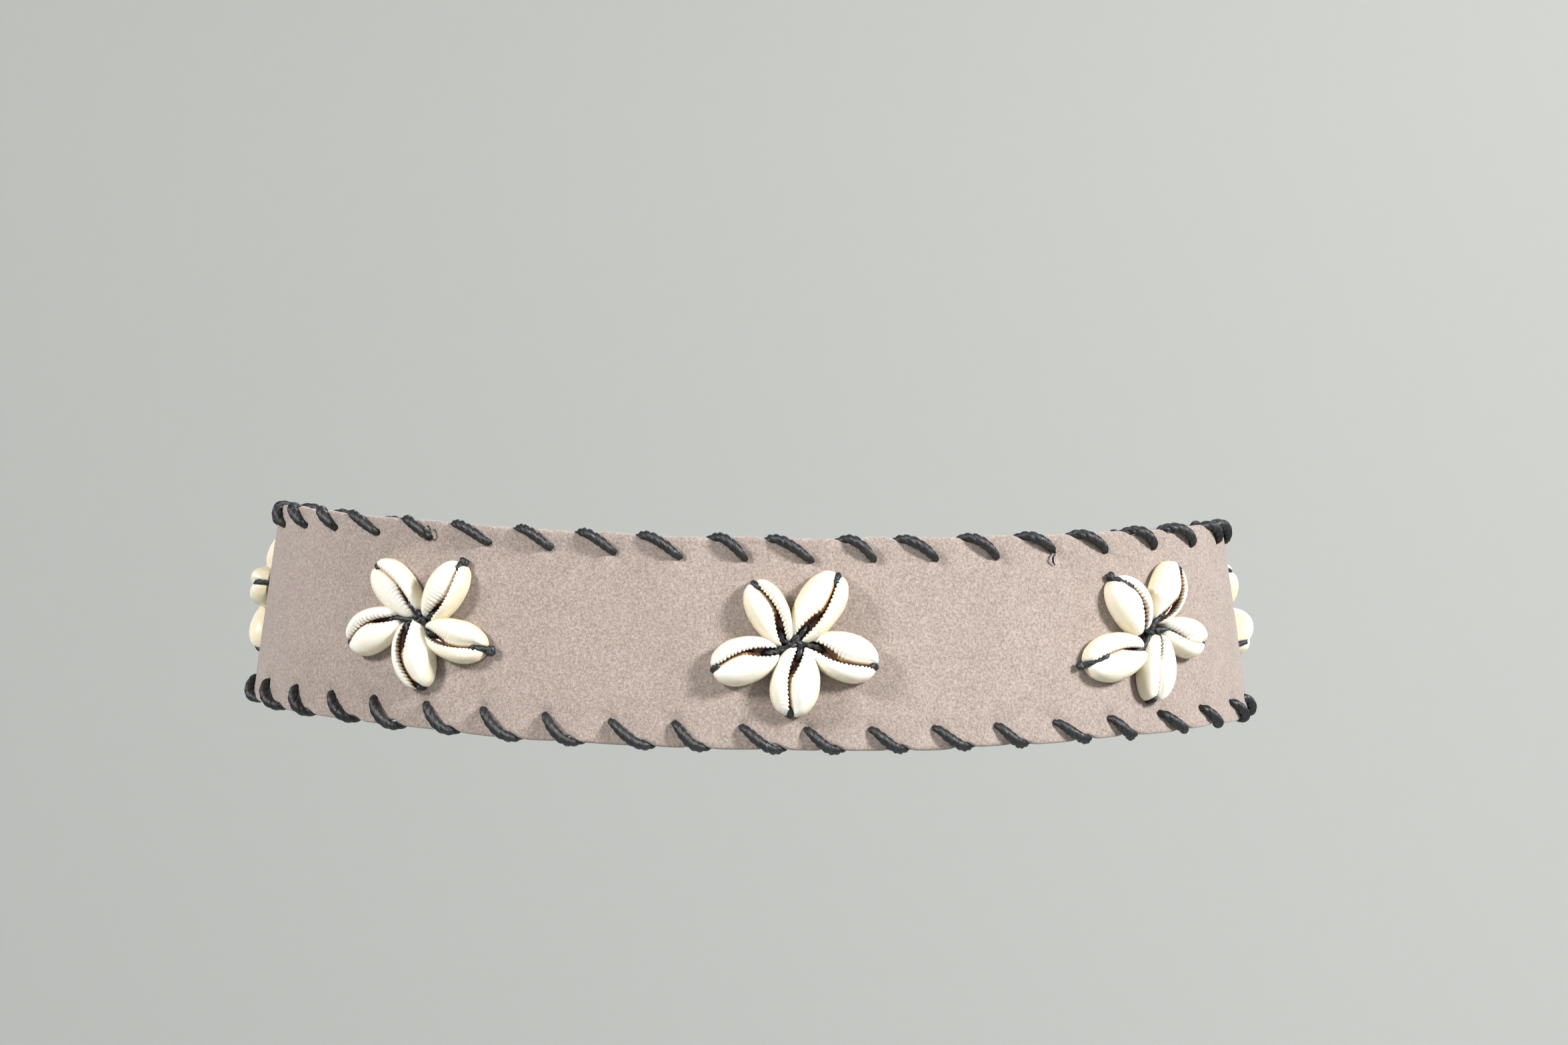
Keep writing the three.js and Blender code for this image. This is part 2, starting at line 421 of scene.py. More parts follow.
def makeWaxedCord():
    material, tree, shader = newMaterial("waxed_cord")
    run = addNode(tree, "ShaderNodeAttribute", {"attribute_name": "cordRun"}).outputs["Vector"]
    stretch = addNode(tree, "ShaderNodeMapping", inputs={"Vector": run, "Scale": (1.0, 1.0, 0.14)})
    strand = addGrain(tree, stretch.outputs["Vector"], 5200.0, 1500.0, 0.4)
    blot = addGrain(tree, run, 900.0, 260.0, 0.5)
    # the strand grain sets the colour; its lightest stop is wax flecks and also a painted highlight on the
    # strand tops
    colour = addRamp(
        tree,
        strand,
        [(0.36, cordLook["deep"]), (0.54, cordLook["body"]), (0.74, cordLook["wax_and_painted_highlight"])],
    )
    tree.links.new(colour, shader.inputs["Base Color"])
    rough = addRange(tree, blot, (0.35, 0.65), cordLook["roughness"])
    tree.links.new(rough, shader.inputs["Roughness"])
    shader.inputs["Specular IOR Level"].default_value = 0.6
    addBump(tree, shader, strand, 1.0, 0.00022)
    return material


shellLook = {
    "crown": (0.76, 0.74, 0.68),
    "flank": (0.7, 0.635, 0.49),
    "lip": (0.46, 0.28, 0.13),
    "inside": (0.11, 0.05, 0.03),
    "roughness": (0.2, 0.34),
}


def makeShell():
    material, tree, shader = newMaterial("cowrie")
    zone = addNode(tree, "ShaderNodeAttribute", {"attribute_name": "shellZone"}).outputs["Color"]
    parts = addNode(tree, "ShaderNodeSeparateColor", inputs={"Color": zone})
    place = addNode(tree, "ShaderNodeTexCoord").outputs["Object"]
    mottle = addGrain(tree, place, 900.0, 210.0, 0.7)
    side = addNode(
        tree,
        "ShaderNodeMath",
        {"operation": "MULTIPLY_ADD"},
        {0: mottle, 1: 0.5, 2: parts.outputs["Green"]},
    )
    flank = addRange(tree, side.outputs["Value"], (0.45, 1.25))
    body = addColourMix(tree, flank, shellLook["crown"], shellLook["flank"])
    tint = addRamp(tree, parts.outputs["Blue"], [(0.0, (1.0, 1.0, 1.0)), (1.0, (0.985, 0.94, 0.84))])
    tinted = addColourMix(tree, 1.0, body, tint, "MULTIPLY")
    lip = addRamp(
        tree,
        parts.outputs["Red"],
        [(0.0, (0, 0, 0)), (0.1, (0, 0, 0)), (0.27, (1, 1, 1))],
    )
    edge = addColourMix(tree, lip, tinted, shellLook["lip"])
    deep = addRamp(tree, parts.outputs["Red"], [(0.32, (0, 0, 0)), (0.52, (1, 1, 1))])
    colour = addColourMix(tree, deep, edge, shellLook["inside"])
    tree.links.new(colour, shader.inputs["Base Color"])
    rough = addRange(tree, mottle, (0.3, 0.7), shellLook["roughness"])
    tree.links.new(rough, shader.inputs["Roughness"])
    shader.inputs["Coat Weight"].default_value = 0.25
    shader.inputs["Coat Roughness"].default_value = 0.12
    shader.inputs["Subsurface Weight"].default_value = 0.12
    shader.inputs["Subsurface Scale"].default_value = 0.0015
    addBump(tree, shader, mottle, 0.18, 0.0003)
    return material


studLook = {
    "dark": (0.16, 0.115, 0.07),
    "body": (0.36, 0.28, 0.18),
    "light": (0.5, 0.4, 0.27),
    "roughness": (0.5, 0.26),
}


def makeStudMetal():
    material, tree, shader = newMaterial("stud")
    place = addNode(tree, "ShaderNodeTexCoord").outputs["Object"]
    wear = addGrain(tree, place, 1400.0, 260.0, 0.5)
    stops = [(0.3, studLook["dark"]), (0.6, studLook["body"]), (0.8, studLook["light"])]
    colour = addRamp(tree, wear, stops)
    tree.links.new(colour, shader.inputs["Base Color"])
    rough = addRange(tree, wear, (0.3, 0.7), studLook["roughness"])
    tree.links.new(rough, shader.inputs["Roughness"])
    shader.inputs["Metallic"].default_value = 1.0
    addBump(tree, shader, wear, 0.25, 0.0002)
    return material


# The suede band


def edgeRow(side):
    return lacing["edges"][0] if side > 0 else lacing["edges"][1]


def holeAt(edge, hole):  # its distance round the loop and its depth below the edge
    right, deeper = lacing["strays"].get((edge["name"], hole), (0, 0))
    distance = edge["first"] + waistRound / edge["holes"] * hole + mm * right
    return distance, edge["depth"] + mm * deeper


def nearestHole(edge, distance):
    pitch = waistRound / edge["holes"]
    hole = round((distance - edge["first"]) / pitch)
    return min((hole - 1, hole, hole + 1), key=lambda near: abs(holeAt(edge, near)[0] - distance))


def laced(distance):  # 1 where the edges are laced, 0 on the overlapping tabs
    start = closing - waistRound + band["lapLength"] / 2
    end = closing - band["lapLength"] / 2
    margin = lacing["lapMargin"]
    return smoothStep(distance, start, start + margin) * (1 - smoothStep(distance, end - margin, end))


def crossing(edge, hole):  # where the stitch from this hole crosses the edge, as a share of its pitch
    return edge["crest"] + lacing["crestDrift"] * math.sin(hole * 2.7 + edge["way"])


def edgeDent(distance, side):  # how far the cord presses the edge in
    edge = edgeRow(side)
    pitch = waistRound / edge["holes"]
    hole = nearestHole(edge, distance - edge["way"] * edge["crest"] * pitch)
    offset = distance - holeAt(edge, hole)[0] - edge["way"] * crossing(edge, hole) * pitch
    press = math.exp(-((offset / band["stitchDentReach"]) ** 2))
    wave = noise.noise(Vector((distance * 45, side * 7.0, 1.5)))
    return band["stitchDent"] * press * laced(distance) + band["edgeWave"] * wave


def suedeRelief(distance, height):  # how far the suede's middle stands out from the even band
    slack = noise.noise(Vector((distance * 22, height * 14, 4.2)))
    relief = band["waveSize"] * slack
    for side in (1, -1):
        edge = edgeRow(side)
        place, depth = holeAt(edge, nearestHole(edge, distance))
        away = side * height - (halfBand - depth)
        reach = ((distance - place) ** 2 + away * away) / band["holeReach"] ** 2
        if reach < 6:
            relief -= band["holeDent"] * math.exp(-reach) * laced(distance)
        pinch = max(0.0, 1 - (halfBand - side * height) / 0.012)
        relief += 0.0005 * pinch * noise.noise(Vector((distance * 60, side * 3.0, 8.8)))
    return relief


def suedePlace(distance, share, out=0.0):  # share runs from -1 at the bottom edge to 1 at the top edge
    side = 1 if share > 0 else -1
    height = halfBand * share
    height -= side * edgeDent(distance, side) * smoothStep(abs(share), 0.72, 1.0)
    return bandPlace(distance, height, out + suedeRelief(distance, height))


def makeBand(material):
    deselectAll()
    bpy.ops.mesh.primitive_grid_add(
        x_subdivisions=band["facesAlong"], y_subdivisions=band["facesUp"], size=1, location=(0, 0, 0)
    )
    piece = bpy.context.object
    piece.name = "suede_band"
    length = waistRound + band["lapLength"]
    start = closing - waistRound - band["lapLength"] / 2
    for vertex in piece.data.vertices:
        vertex.co = suedePlace(start + length * (vertex.co.x + 0.5), 2 * vertex.co.y)
    solid = piece.modifiers.new("thickness", "SOLIDIFY")
    solid.thickness = band["thick"]
    solid.offset = 0
    soft = piece.modifiers.new("soft edges", "BEVEL")
    soft.width = band["edgeRound"]
    soft.segments = 3
    soft.limit_method = "ANGLE"
    soft.angle_limit = math.radians(60)
    applyModifiers(piece)
    bpy.ops.object.shade_smooth()
    finishPiece(piece, material, ["band"])
    print("suede band:", len(piece.data.polygons), "faces")


# Cords


def blend(a, b, c, d, t):  # Catmull-Rom between b and c
    square = (2 * a - 5 * b + 4 * c - d) * t * t
    cube = (3 * b - a - 3 * c + d) * t * t * t
    return 0.5 * (2 * b + (c - a) * t + square + cube)


def smoothRoute(points, step):  # a curve through the points, sampled about every step
    route = []
    for i in range(len(points) - 1):
        before = points[max(i - 1, 0)]
        start = points[i]
        end = points[i + 1]
        after = points[min(i + 2, len(points) - 1)]
        pieces = max(1, round((end - start).length / step))
        for k in range(pieces):
            route.append(blend(before, start, end, after, k / pieces))
    route.append(points[-1].copy())
    return route


def routeLength(route):
    return sum((after - before).length for before, after in zip(route, route[1:]))


def plyReach(angle, plies, radius):  # outline of round plies laid side by side
    centre = radius * 0.33
    ply = radius * 0.67
    gap = 2 * math.pi / plies
    turn = (angle + gap / 2) % gap - gap / 2
    return centre * math.cos(turn) + math.sqrt(max(ply * ply - (centre * math.sin(turn)) ** 2, 0))


def newCordMesh():
    return {"points": [], "faces": [], "runs": []}


# A twisted cord along a route. Its ends are thinned or not, and girths vary its thickness on the way.
def addCord(cord, route, radius, lay, plies=3, sides=18, ends=(1.0, 1.0), girths=None):
    count = len(route)
    tangents = [(route[min(i + 1, count - 1)] - route[max(i - 1, 0)]).normalized() for i in range(count)]
    normal = tangents[0].orthogonal().normalized()
    base = len(cord["points"])
    run = 0.0
    phase = random.random() * 6.28
    for i in range(count):
        if i:
            run += (route[i] - route[i - 1]).length
            turn = tangents[i - 1].rotation_difference(tangents[i])
            normal = turn @ normal
        normal = (normal - tangents[i] * normal.dot(tangents[i])).normalized()
        cross = tangents[i].cross(normal)
        twist = phase + 2 * math.pi * run / lay
        size = radius * girths[i] if girths else radius
        if i < 3:
            size *= ends[0] + (1 - ends[0]) * i / 3
        if i > count - 4:
            size *= ends[1] + (1 - ends[1]) * (count - 1 - i) / 3
        for k in range(sides):
            angle = 2 * math.pi * k / sides
            reach = plyReach(angle, plies, size)
            spin = angle + twist
            offset = normal * (reach * math.cos(spin)) + cross * (reach * math.sin(spin))
            cord["points"].append(route[i] + offset)
            cord["runs"].append((reach * math.cos(angle), reach * math.sin(angle), run))
    for i in range(count - 1):
        for k in range(sides):
            a = base + i * sides + k
            b = base + i * sides + (k + 1) % sides
            cord["faces"].append((a, b, b + sides, a + sides))
    cord["faces"].append(tuple(base + sides - 1 - k for k in range(sides)))
    last = base + (count - 1) * sides
    cord["faces"].append(tuple(last + k for k in range(sides)))


def finishCord(name, cord, material, replaced=()):
    piece = startMesh(name, cord["points"], cord["faces"])
    runs = piece.data.attributes.new("cordRun", "FLOAT_VECTOR", "POINT")
    runs.data.foreach_set("vector", [value for run in cord["runs"] for value in run])
    useOnly(piece)
    bpy.ops.object.shade_smooth()
    finishPiece(piece, material, replaced)
    return piece


def knotRoute(centre, across, up, out, size, step):  # an overhand knot pulled tight
    points = []
    for i in range(25):
        t = 2 * math.pi * i / 24
        points.append(
            centre
            + across * (size * (math.sin(t) + 2 * math.sin(2 * t)) / 3)
            + up * (size * (math.cos(t) - 2 * math.cos(2 * t)) / 3)
            + out * (-size * 0.45 * math.sin(3 * t))
        )
    return smoothRoute(points, step)


def makeLacing(edge, material):
    pitch = waistRound / edge["holes"]
    start = closing - waistRound + band["lapLength"] / 2 + lacing["lapMargin"]
    end = closing - band["lapLength"] / 2 - lacing["lapMargin"]
    first = math.ceil((start - edge["first"]) / pitch)
    last = math.floor((end - edge["first"]) / pitch)
    holes = list(range(first, last + 1))
    if edge["way"] < 0:
        holes.reverse()
    outReach = halfThick + lacing["cordRadius"] * 0.93
    chance = random.Random(edge["holes"])
    points = []
    for count, hole in enumerate(holes):
        origin, depth = holeAt(edge, hole)
        step = abs(holeAt(edge, hole + edge["way"])[0] - origin)
        loose = chance.uniform(0.0, 1.0) ** 2  # slack of this stitch
        drift = chance.uniform(-0.02, 0.02)
        for stage, rise, out, girth in lacing["route"]:
            if count == len(holes) - 1 and stage > 0:
                break
            crest = crossing(edge, hole)
            place = crest * min(stage, 1) + (1 - crest) * max(stage - 1, 0)
            distance = origin + edge["way"] * step * (place + drift * math.sin(math.pi * place))
            height = halfBand - depth * (1 - rise) + 0.0004 * loose * rise
            reach = out * outReach * (1 + 0.3 * loose * math.sin(math.pi * min(stage, 1)))
            relief = suedeRelief(distance, edge["side"] * height)
            spot = bandPlace(distance, edge["side"] * height, reach + relief)
            points.append(Vector((*spot, mm * girth)))  # the girth is kept small, so it adds no length
    cord = newCordMesh()
    route = smoothRoute(points, lacing["step"])
    girths = [spot[3] * 1000 for spot in route]
    route = [spot.to_3d() for spot in route]
    addCord(cord, route, lacing["cordRadius"], lacing["layLength"], girths=girths)
    knot = lacing["endKnot"]
    for tip, hole in ((route[0], holes[0]), (route[-1], holes[-1])):
        matrix = bandFrame(holeAt(edge, hole)[0], 0)
        across, up, out = (matrix.col[i].to_3d() for i in range(3))
        centre = tip - out * (halfThick + knot["in"])
        turns = knotRoute(centre, across, up, out, knot["size"], knot["step"])
        addCord(cord, turns, knot["radius"], knot["layLength"], sides=12)
    for name, hole, places in lacing["tails"]:
        if name == edge["name"]:
            origin, depth = holeAt(edge, hole)
            height = edge["side"] * (halfBand - depth)
            rows = [[mm * value for value in row] for row in places]
            strand = [bandPlace(origin + right, height + rise, out) for right, rise, out in rows]
            tail = smoothRoute(strand, lacing["tailStep"])
            addCord(cord, tail, lacing["tailRadius"], lacing["tailLay"], plies=2, sides=8, ends=(1, 0.4))
    piece = finishCord(f"{edge['name']}_lacing", cord, material)
    metres = round(routeLength(route), 3)
    print(piece.name + ":", len(piece.data.polygons), "faces,", len(holes), "holes,", metres, "m")


# The flowers

shellHeight = 0.0065

# Each petal: where its middle lies from the knot and where its tip points, in degrees from the belt's right,
# then the middle's distance, the length and the width in millimetres. Then its cord: where it leaves the slit
# as a share of the length, how many metres it runs past the tip, and the size of its end knot, 0 for none.
# Then its slit: millimetres to the left of the shell's middle, seen with the tip up, and how open it is.
Petal = namedtuple("Petal", "at turn away long wide leaveAt past knob shift open")

evenFlower = [
    Petal(269, 261, 10.03, 17.7, 12.6, 0.9, 0, 0, 0, 1),
    Petal(344, 341, 12.62, 17.9, 12.5, 0.88, 0, 0, 0, 1),
    Petal(58, 57, 11.08, 19.8, 11.9, 0.84, 0, 0, 0, 1),
    Petal(131, 117, 10.3, 17.7, 10.5, 0.86, 0, 0, 0, 1),
    Petal(200, 196, 13.72, 17.3, 12.2, 0.88, 0, 0, 0, 1),
]
wideFlower = [
    Petal(262, 285, 9.5, 17.9, 11.7, 0.97, 0, 0, -1.0, 1.2),
    Petal(335, 346, 10.89, 18, 11, 0.84, 0.0012, 1.7, 0, 0.85),
    Petal(52, 60.5, 10.05, 16.9, 10.4, 0.9, 0.0002, 1.7, -0.9, 0.7),
    Petal(139, 138.5, 11.3, 18.7, 11.4, 0.86, 0, 0, -0.4, 0.5),
    Petal(196.5, 204.5, 14.9, 17, 11.8, 0.93, 0, 0, 0, 0.6),
]
looseFlower = [
    Petal(270.5, 256.5, 10, 18.2, 11, 0.94, 0, 0, 0.3, 0.25),
    Petal(347, 343, 11.4, 15.2, 10.6, 0.86, 0, 0, 0, 0.35),
    Petal(57, 58, 11.7, 17.8, 11, 0.86, 0, 0, -1.3, 1.1),
    Petal(133.5, 119, 9.9, 16.2, 12, 0.74, 0.0008, 1.4, -0.9, 0.6),
    Petal(206, 191, 13.8, 19, 12.6, 0.72, 0.0014, 1.3, 0, 0.45),
]
turnedFlower = [
    Petal(310, 306, 10.6, 17.2, 11, 0.9, 0, 0, 0, 1),
    Petal(13, 13, 12.4, 17.2, 11.2, 0.86, 0, 0, 0, 1),
    Petal(80, 84, 10.8, 16.8, 10.6, 0.88, 0, 0, 0, 1),
    Petal(152, 150, 11, 17.2, 11, 0.84, 0, 0, 0, 1),
    Petal(231, 235, 11.6, 17.5, 11.2, 0.9, 0, 0, 0, 1),
]

# Each flower: name, steps from the front one, petals, and rise as a share of the band's width
flowers = [
    ("back_left", -3.08, looseFlower, 0),
    ("side_left", -2.06, turnedFlower, 0),
    ("front_left", -1, wideFlower, 0.02),
    ("front", 0, evenFlower, 0),
    ("front_right", 1, looseFlower, 0),
    ("side_right", 1.88, wideFlower, 0),
    ("back_right", 2.9, evenFlower, 0),
]


def flowerPlace(step, rise):
    distance = waist["patternShift"] + waistRound / waist["flowerCount"] * step
    return distance, band["width"] * rise


def petalFrame(distance, height, petal):  # +X runs from the shell's inner end to its tip, +Z out of the band
    at = math.radians(petal.at)
    away = petal.away * mm
    right = distance + away * math.cos(at)
    matrix = bandFrame(right, height + away * math.sin(at), halfThick + waist["gap"])
    turn = Matrix.Rotation(math.radians(petal.turn), 4, "Z")
    return matrix @ turn @ Matrix.Translation((-petal.long * mm / 2, 0, 0))


# Cowries

cowrie = {
    "around": 48,  # points of one section
    "stations": 138,
    "bow": 0.0015,  # the slit bends towards the toothed lip
    "toothPitch": 0.00098,
    "toothDepth": 0.00038,
    "toothRidge": 0.00016,
    "ledge": 0.0008,  # the smooth lip's inner wall slopes in this far
    "reach": 0.0006,  # the inner end stands this much nearer to the knot
    "notch": 0.0011,  # the ends are cut back where the cord leaves the slit
    "ends": 0.0012,  # the end sections' share of the length
}

# One side of a section from the floor of the slit over the lip and down to the cut back: place from the
# slit's edge to the shell's side, height, and how deep in the slit it is
cowrieSide = [
    (-0.6, 0.40, 1.0),
    (-0.02, 0.42, 1.0),
    (0.05, 0.5, 0.8),
    (0.03, 0.64, 0.55),
    (0.0, 0.77, 0.3),
    (0.045, 0.88, 0.08),
    (0.16, 0.96, 0.0),
    (0.36, 1.0, 0.0),
    (0.58, 0.96, 0.0),
    (0.79, 0.83, 0.0),
    (0.94, 0.61, 0.0),
    (1.0, 0.38, 0.0),
    (0.985, 0.18, 0.0),
    (0.9, 0.03, 0.0),
    (0.78, 0.0, 0.0),
]

# Along the shell from its inner end to its tip, in equal steps. The widths are half of the slit's, in
# millimetres, and the other rows are shares.
cowrieOutline = [0.42, 0.62, 0.77, 0.88, 0.955, 0.99, 1.0, 0.96, 0.86, 0.67, 0.38]
cowrieArch = [0.42, 0.66, 0.8, 0.9, 0.965, 1.0, 1.0, 0.955, 0.87, 0.73, 0.5]
slitWidths = [0.85, 1.1, 1.18, 1.1, 0.84, 0.6, 0.46, 0.41, 0.44, 0.54, 0.72]
slitBends = [0.0, 0.06, 0.3, 0.6, 0.86, 1.0, 0.95, 0.74, 0.42, 0.14, 0.0]
slitShifts = [0.0, 0.4, 0.75, 0.95, 1.0, 1.0, 1.0, 0.95, 0.8, 0.55, 0.2]


def spread(rows, share):  # a smooth value of a table at a share of its length
    position = min(max(share, 0.0), 1.0) * (len(rows) - 1)
    i = min(int(position), len(rows) - 2)
    t = position - i
    before = rows[max(i - 1, 0)]
    start = rows[i]
    end = rows[i + 1]
    after = rows[min(i + 2, len(rows) - 1)]
    if isinstance(start, tuple):
        return [blend(a, b, c, d, t) for a, b, c, d in zip(before, start, end, after)]
    return blend(before, start, end, after, t)


def roundEnds(share, start, end):  # quarter circles at both ends of a length
    near = 1 - min(share / start, 1)
    far = 1 - min((1 - share) / end, 1)
    return math.sqrt(max(1 - near * near, 0)) * math.sqrt(max(1 - far * far, 0))


def archAt(long):  # the shell's height there as a share of its greatest
    return spread(cowrieArch, long) * roundEnds(long, 0.05, 0.06) ** 0.7


def lipHeight(long):  # the lip over the slit, as a share of the shell's height
    return 0.9 * archAt(long)


def slitBend(petal, long):  # the slit's place across the shell
    return mm * petal.shift * spread(slitShifts, long) - cowrie["bow"] * spread(slitBends, long)


def shapeCowrie(piece, petal, seed, matrix):
    chance = random.Random(seed)
    length = petal.long * mm
    width = petal.wide * mm
    height = shellHeight * chance.uniform(0.95, 1.03)
    openness = petal.open * chance.uniform(0.9, 1.1)
    lean = chance.uniform(-0.12, 0.12)  # one half of the shell swells more than the other
    teeth = length / (cowrie["toothPitch"] * chance.uniform(0.95, 1.06))
    shift = chance.random()
    tint = chance.random() ** 1.4
    half = cowrie["around"] // 2
    section = [spread(cowrieSide, k / (half - 1)) for k in range(half)]
    zones = []
    for vertex in piece.data.vertices:
        turn = math.atan2(vertex.co.y, vertex.co.x) % (2 * math.pi)
        place = round(turn / (2 * math.pi) * cowrie["around"]) % cowrie["around"]
        left = place < half
        side = 1 if left else -1
        outPart, upPart, depth = section[place if left else cowrie["around"] - 1 - place]
        share = vertex.co.z + 0.5
        share = 0.45 * share + 0.55 * (0.5 - 0.5 * math.cos(math.pi * share))
        long = cowrie["ends"] + (1 - 2 * cowrie["ends"]) * share
        bluntness = roundEnds(long, 0.06, 0.075)
        halfWidth = width / 2 * spread(cowrieOutline, long) * bluntness
        arch = archAt(long)
        bend = slitBend(petal, long)
        slit = min(spread(slitWidths, long) * mm * openness, 0.55 * halfWidth)
        sloped = smoothStep(long, 0.25, 0.5) * (1 - smoothStep(long, 0.85, 0.97)) * left
        ledge = cowrie["ledge"] * sloped
        slit += 0.6 * ledge
        wall = halfWidth - slit - side * bend
        toothed = smoothStep(long, 0.04, 0.1) * (1 - smoothStep(long, 0.9, 0.97))
        if left:
            toothed *= 0.85 - 0.85 * smoothStep(long, 0.4, 0.6)
        wobble = 0.12 * math.sin(long * 31 + seed)
        beat = 2 * math.pi * (long * teeth + shift + wobble + 0.5 * left)
        wave = 1 - (0.5 + 0.5 * math.cos(beat)) ** 3  # 1 on a tooth and 0 in the groove beside it
        if outPart > 0 or upPart > 0.2:
            lipNear = math.exp(-((outPart / 0.2) ** 2)) * smoothStep(upPart, 0.3, 0.7)
            edge = slit + wall * outPart - cowrie["toothDepth"] * (wave - 0.6) * toothed * lipNear
            if upPart < 0.88 and outPart < 0.1:
                inner = edge - 1.4 * ledge * smoothStep(0.88 - upPart, 0.0, 0.36)
                edge = max(inner, 0.00012 - 0.45 * ledge)
                upPart += 0.6 * (0.88 - upPart) * sloped
                depth *= 1 - 0.5 * sloped
        else:
            edge = max(slit * (1 + outPart * 1.6) - ledge, 0.00005)
        rise = height * arch * upPart
        if upPart > 0.7:
            rise += cowrie["toothRidge"] * (wave - 0.6) * toothed * math.exp(-((outPart / 0.42) ** 2))
        rise *= 1 + side * lean * smoothStep(outPart, 0.0, 0.4)
        y = bend + side * edge
        notch = cowrie["notch"] * math.exp(-((y / 0.00085) ** 2))
        x = length * long - cowrie["reach"] * (1 - long)
        x += 0.6 * notch * (1 - smoothStep(long, 0.0, 0.08)) - notch * smoothStep(long, 0.9, 1.0)
        vertex.co = matrix @ Vector((x, y, rise - 0.0002))
        if outPart < 0.12:
            depth *= 1 - 0.7 * wave * toothed * smoothStep(upPart, 0.4, 0.8)
        flank = min(max((outPart - 0.4) / 0.6, 0), 1)
        zones.append((max(depth, 0), flank, tint, 1.0))
    zone = piece.data.attributes.new("shellZone", "FLOAT_COLOR", "POINT")
    zone.data.foreach_set("color", [value for row in zones for value in row])


def makeCowrieBlank():  # a tube of even rings, shaped into each shell
    deselectAll()
    bpy.ops.mesh.primitive_cylinder_add(
        vertices=cowrie["around"], radius=0.5, depth=1, end_fill_type="TRIFAN"
    )
    blank = bpy.context.object
    blank.name = "cowrie_blank"
    bpy.ops.object.mode_set(mode="EDIT")
    bpy.ops.mesh.select_all(action="DESELECT")
    work = bmesh.from_edit_mesh(blank.data)
    for edge in work.edges:
        first, second = edge.verts
        edge.select_set(abs(first.co.z - second.co.z) > 0.5)
    bmesh.update_edit_mesh(blank.data)
    bpy.ops.mesh.subdivide(number_cuts=cowrie["stations"] - 1)
    bpy.ops.object.mode_set(mode="OBJECT")
    return blank


def makeCowries(material):
    blank = makeCowrieBlank()
    count = 0
    for name, step, petals, rise in flowers:
        distance, height = flowerPlace(step, rise)
        for i, petal in enumerate(petals):
            shell = blank.copy()
            shell.data = blank.data.copy()
            shell.name = f"shell_{name}_{i + 1}"
            bpy.context.collection.objects.link(shell)
            matrix = petalFrame(distance, height, petal)
            shapeCowrie(shell, petal, count * 17 + 3, matrix)
            useOnly(shell)
            bpy.ops.object.mode_set(mode="EDIT")
            bpy.ops.mesh.select_all(action="SELECT")
            bpy.ops.mesh.normals_make_consistent(inside=False)
            bpy.ops.object.mode_set(mode="OBJECT")
            bpy.ops.object.shade_smooth()
            finishPiece(shell, material, [f"cowrie_{name}_{i + 1}"])
            count += 1
    bpy.data.objects.remove(blank)
    print("cowries:", count, "of", len(shell.data.polygons), "faces each")


# The cords that tie the flowers

tie = {
    "radius": 0.00084,
    "layLength": 0.0052,
    "step": 0.0004,
    "knotSize": 0.0019,
    "knotHeight": 0.0024,
    "sunk": 0.0004,  # how far the cord lies below the lips at the tip
    "dive": 0.09,  # the cord starts to rise this share of the length before it leaves the slit
    "sway": 0.0007,  # the arms leave the knot up to this far to one side
    "tipLay": 0.004,
    "tipStep": 0.0003,
    "tipSize": 0.0004,
    # Along the shell, as a share of its length, and height over its back in millimetres
    "arm": [(0.03, 2.1), (0.1, 2.6), (0.17, 2.0), (0.24, 0.5), (0.34, -0.9), (0.62, -0.9)],
    # The knot's two turns: height as a share of knotHeight, and size as a share of knotSize
    "turns": [(0.45, 1.15), (1.0, 0.85)],
}


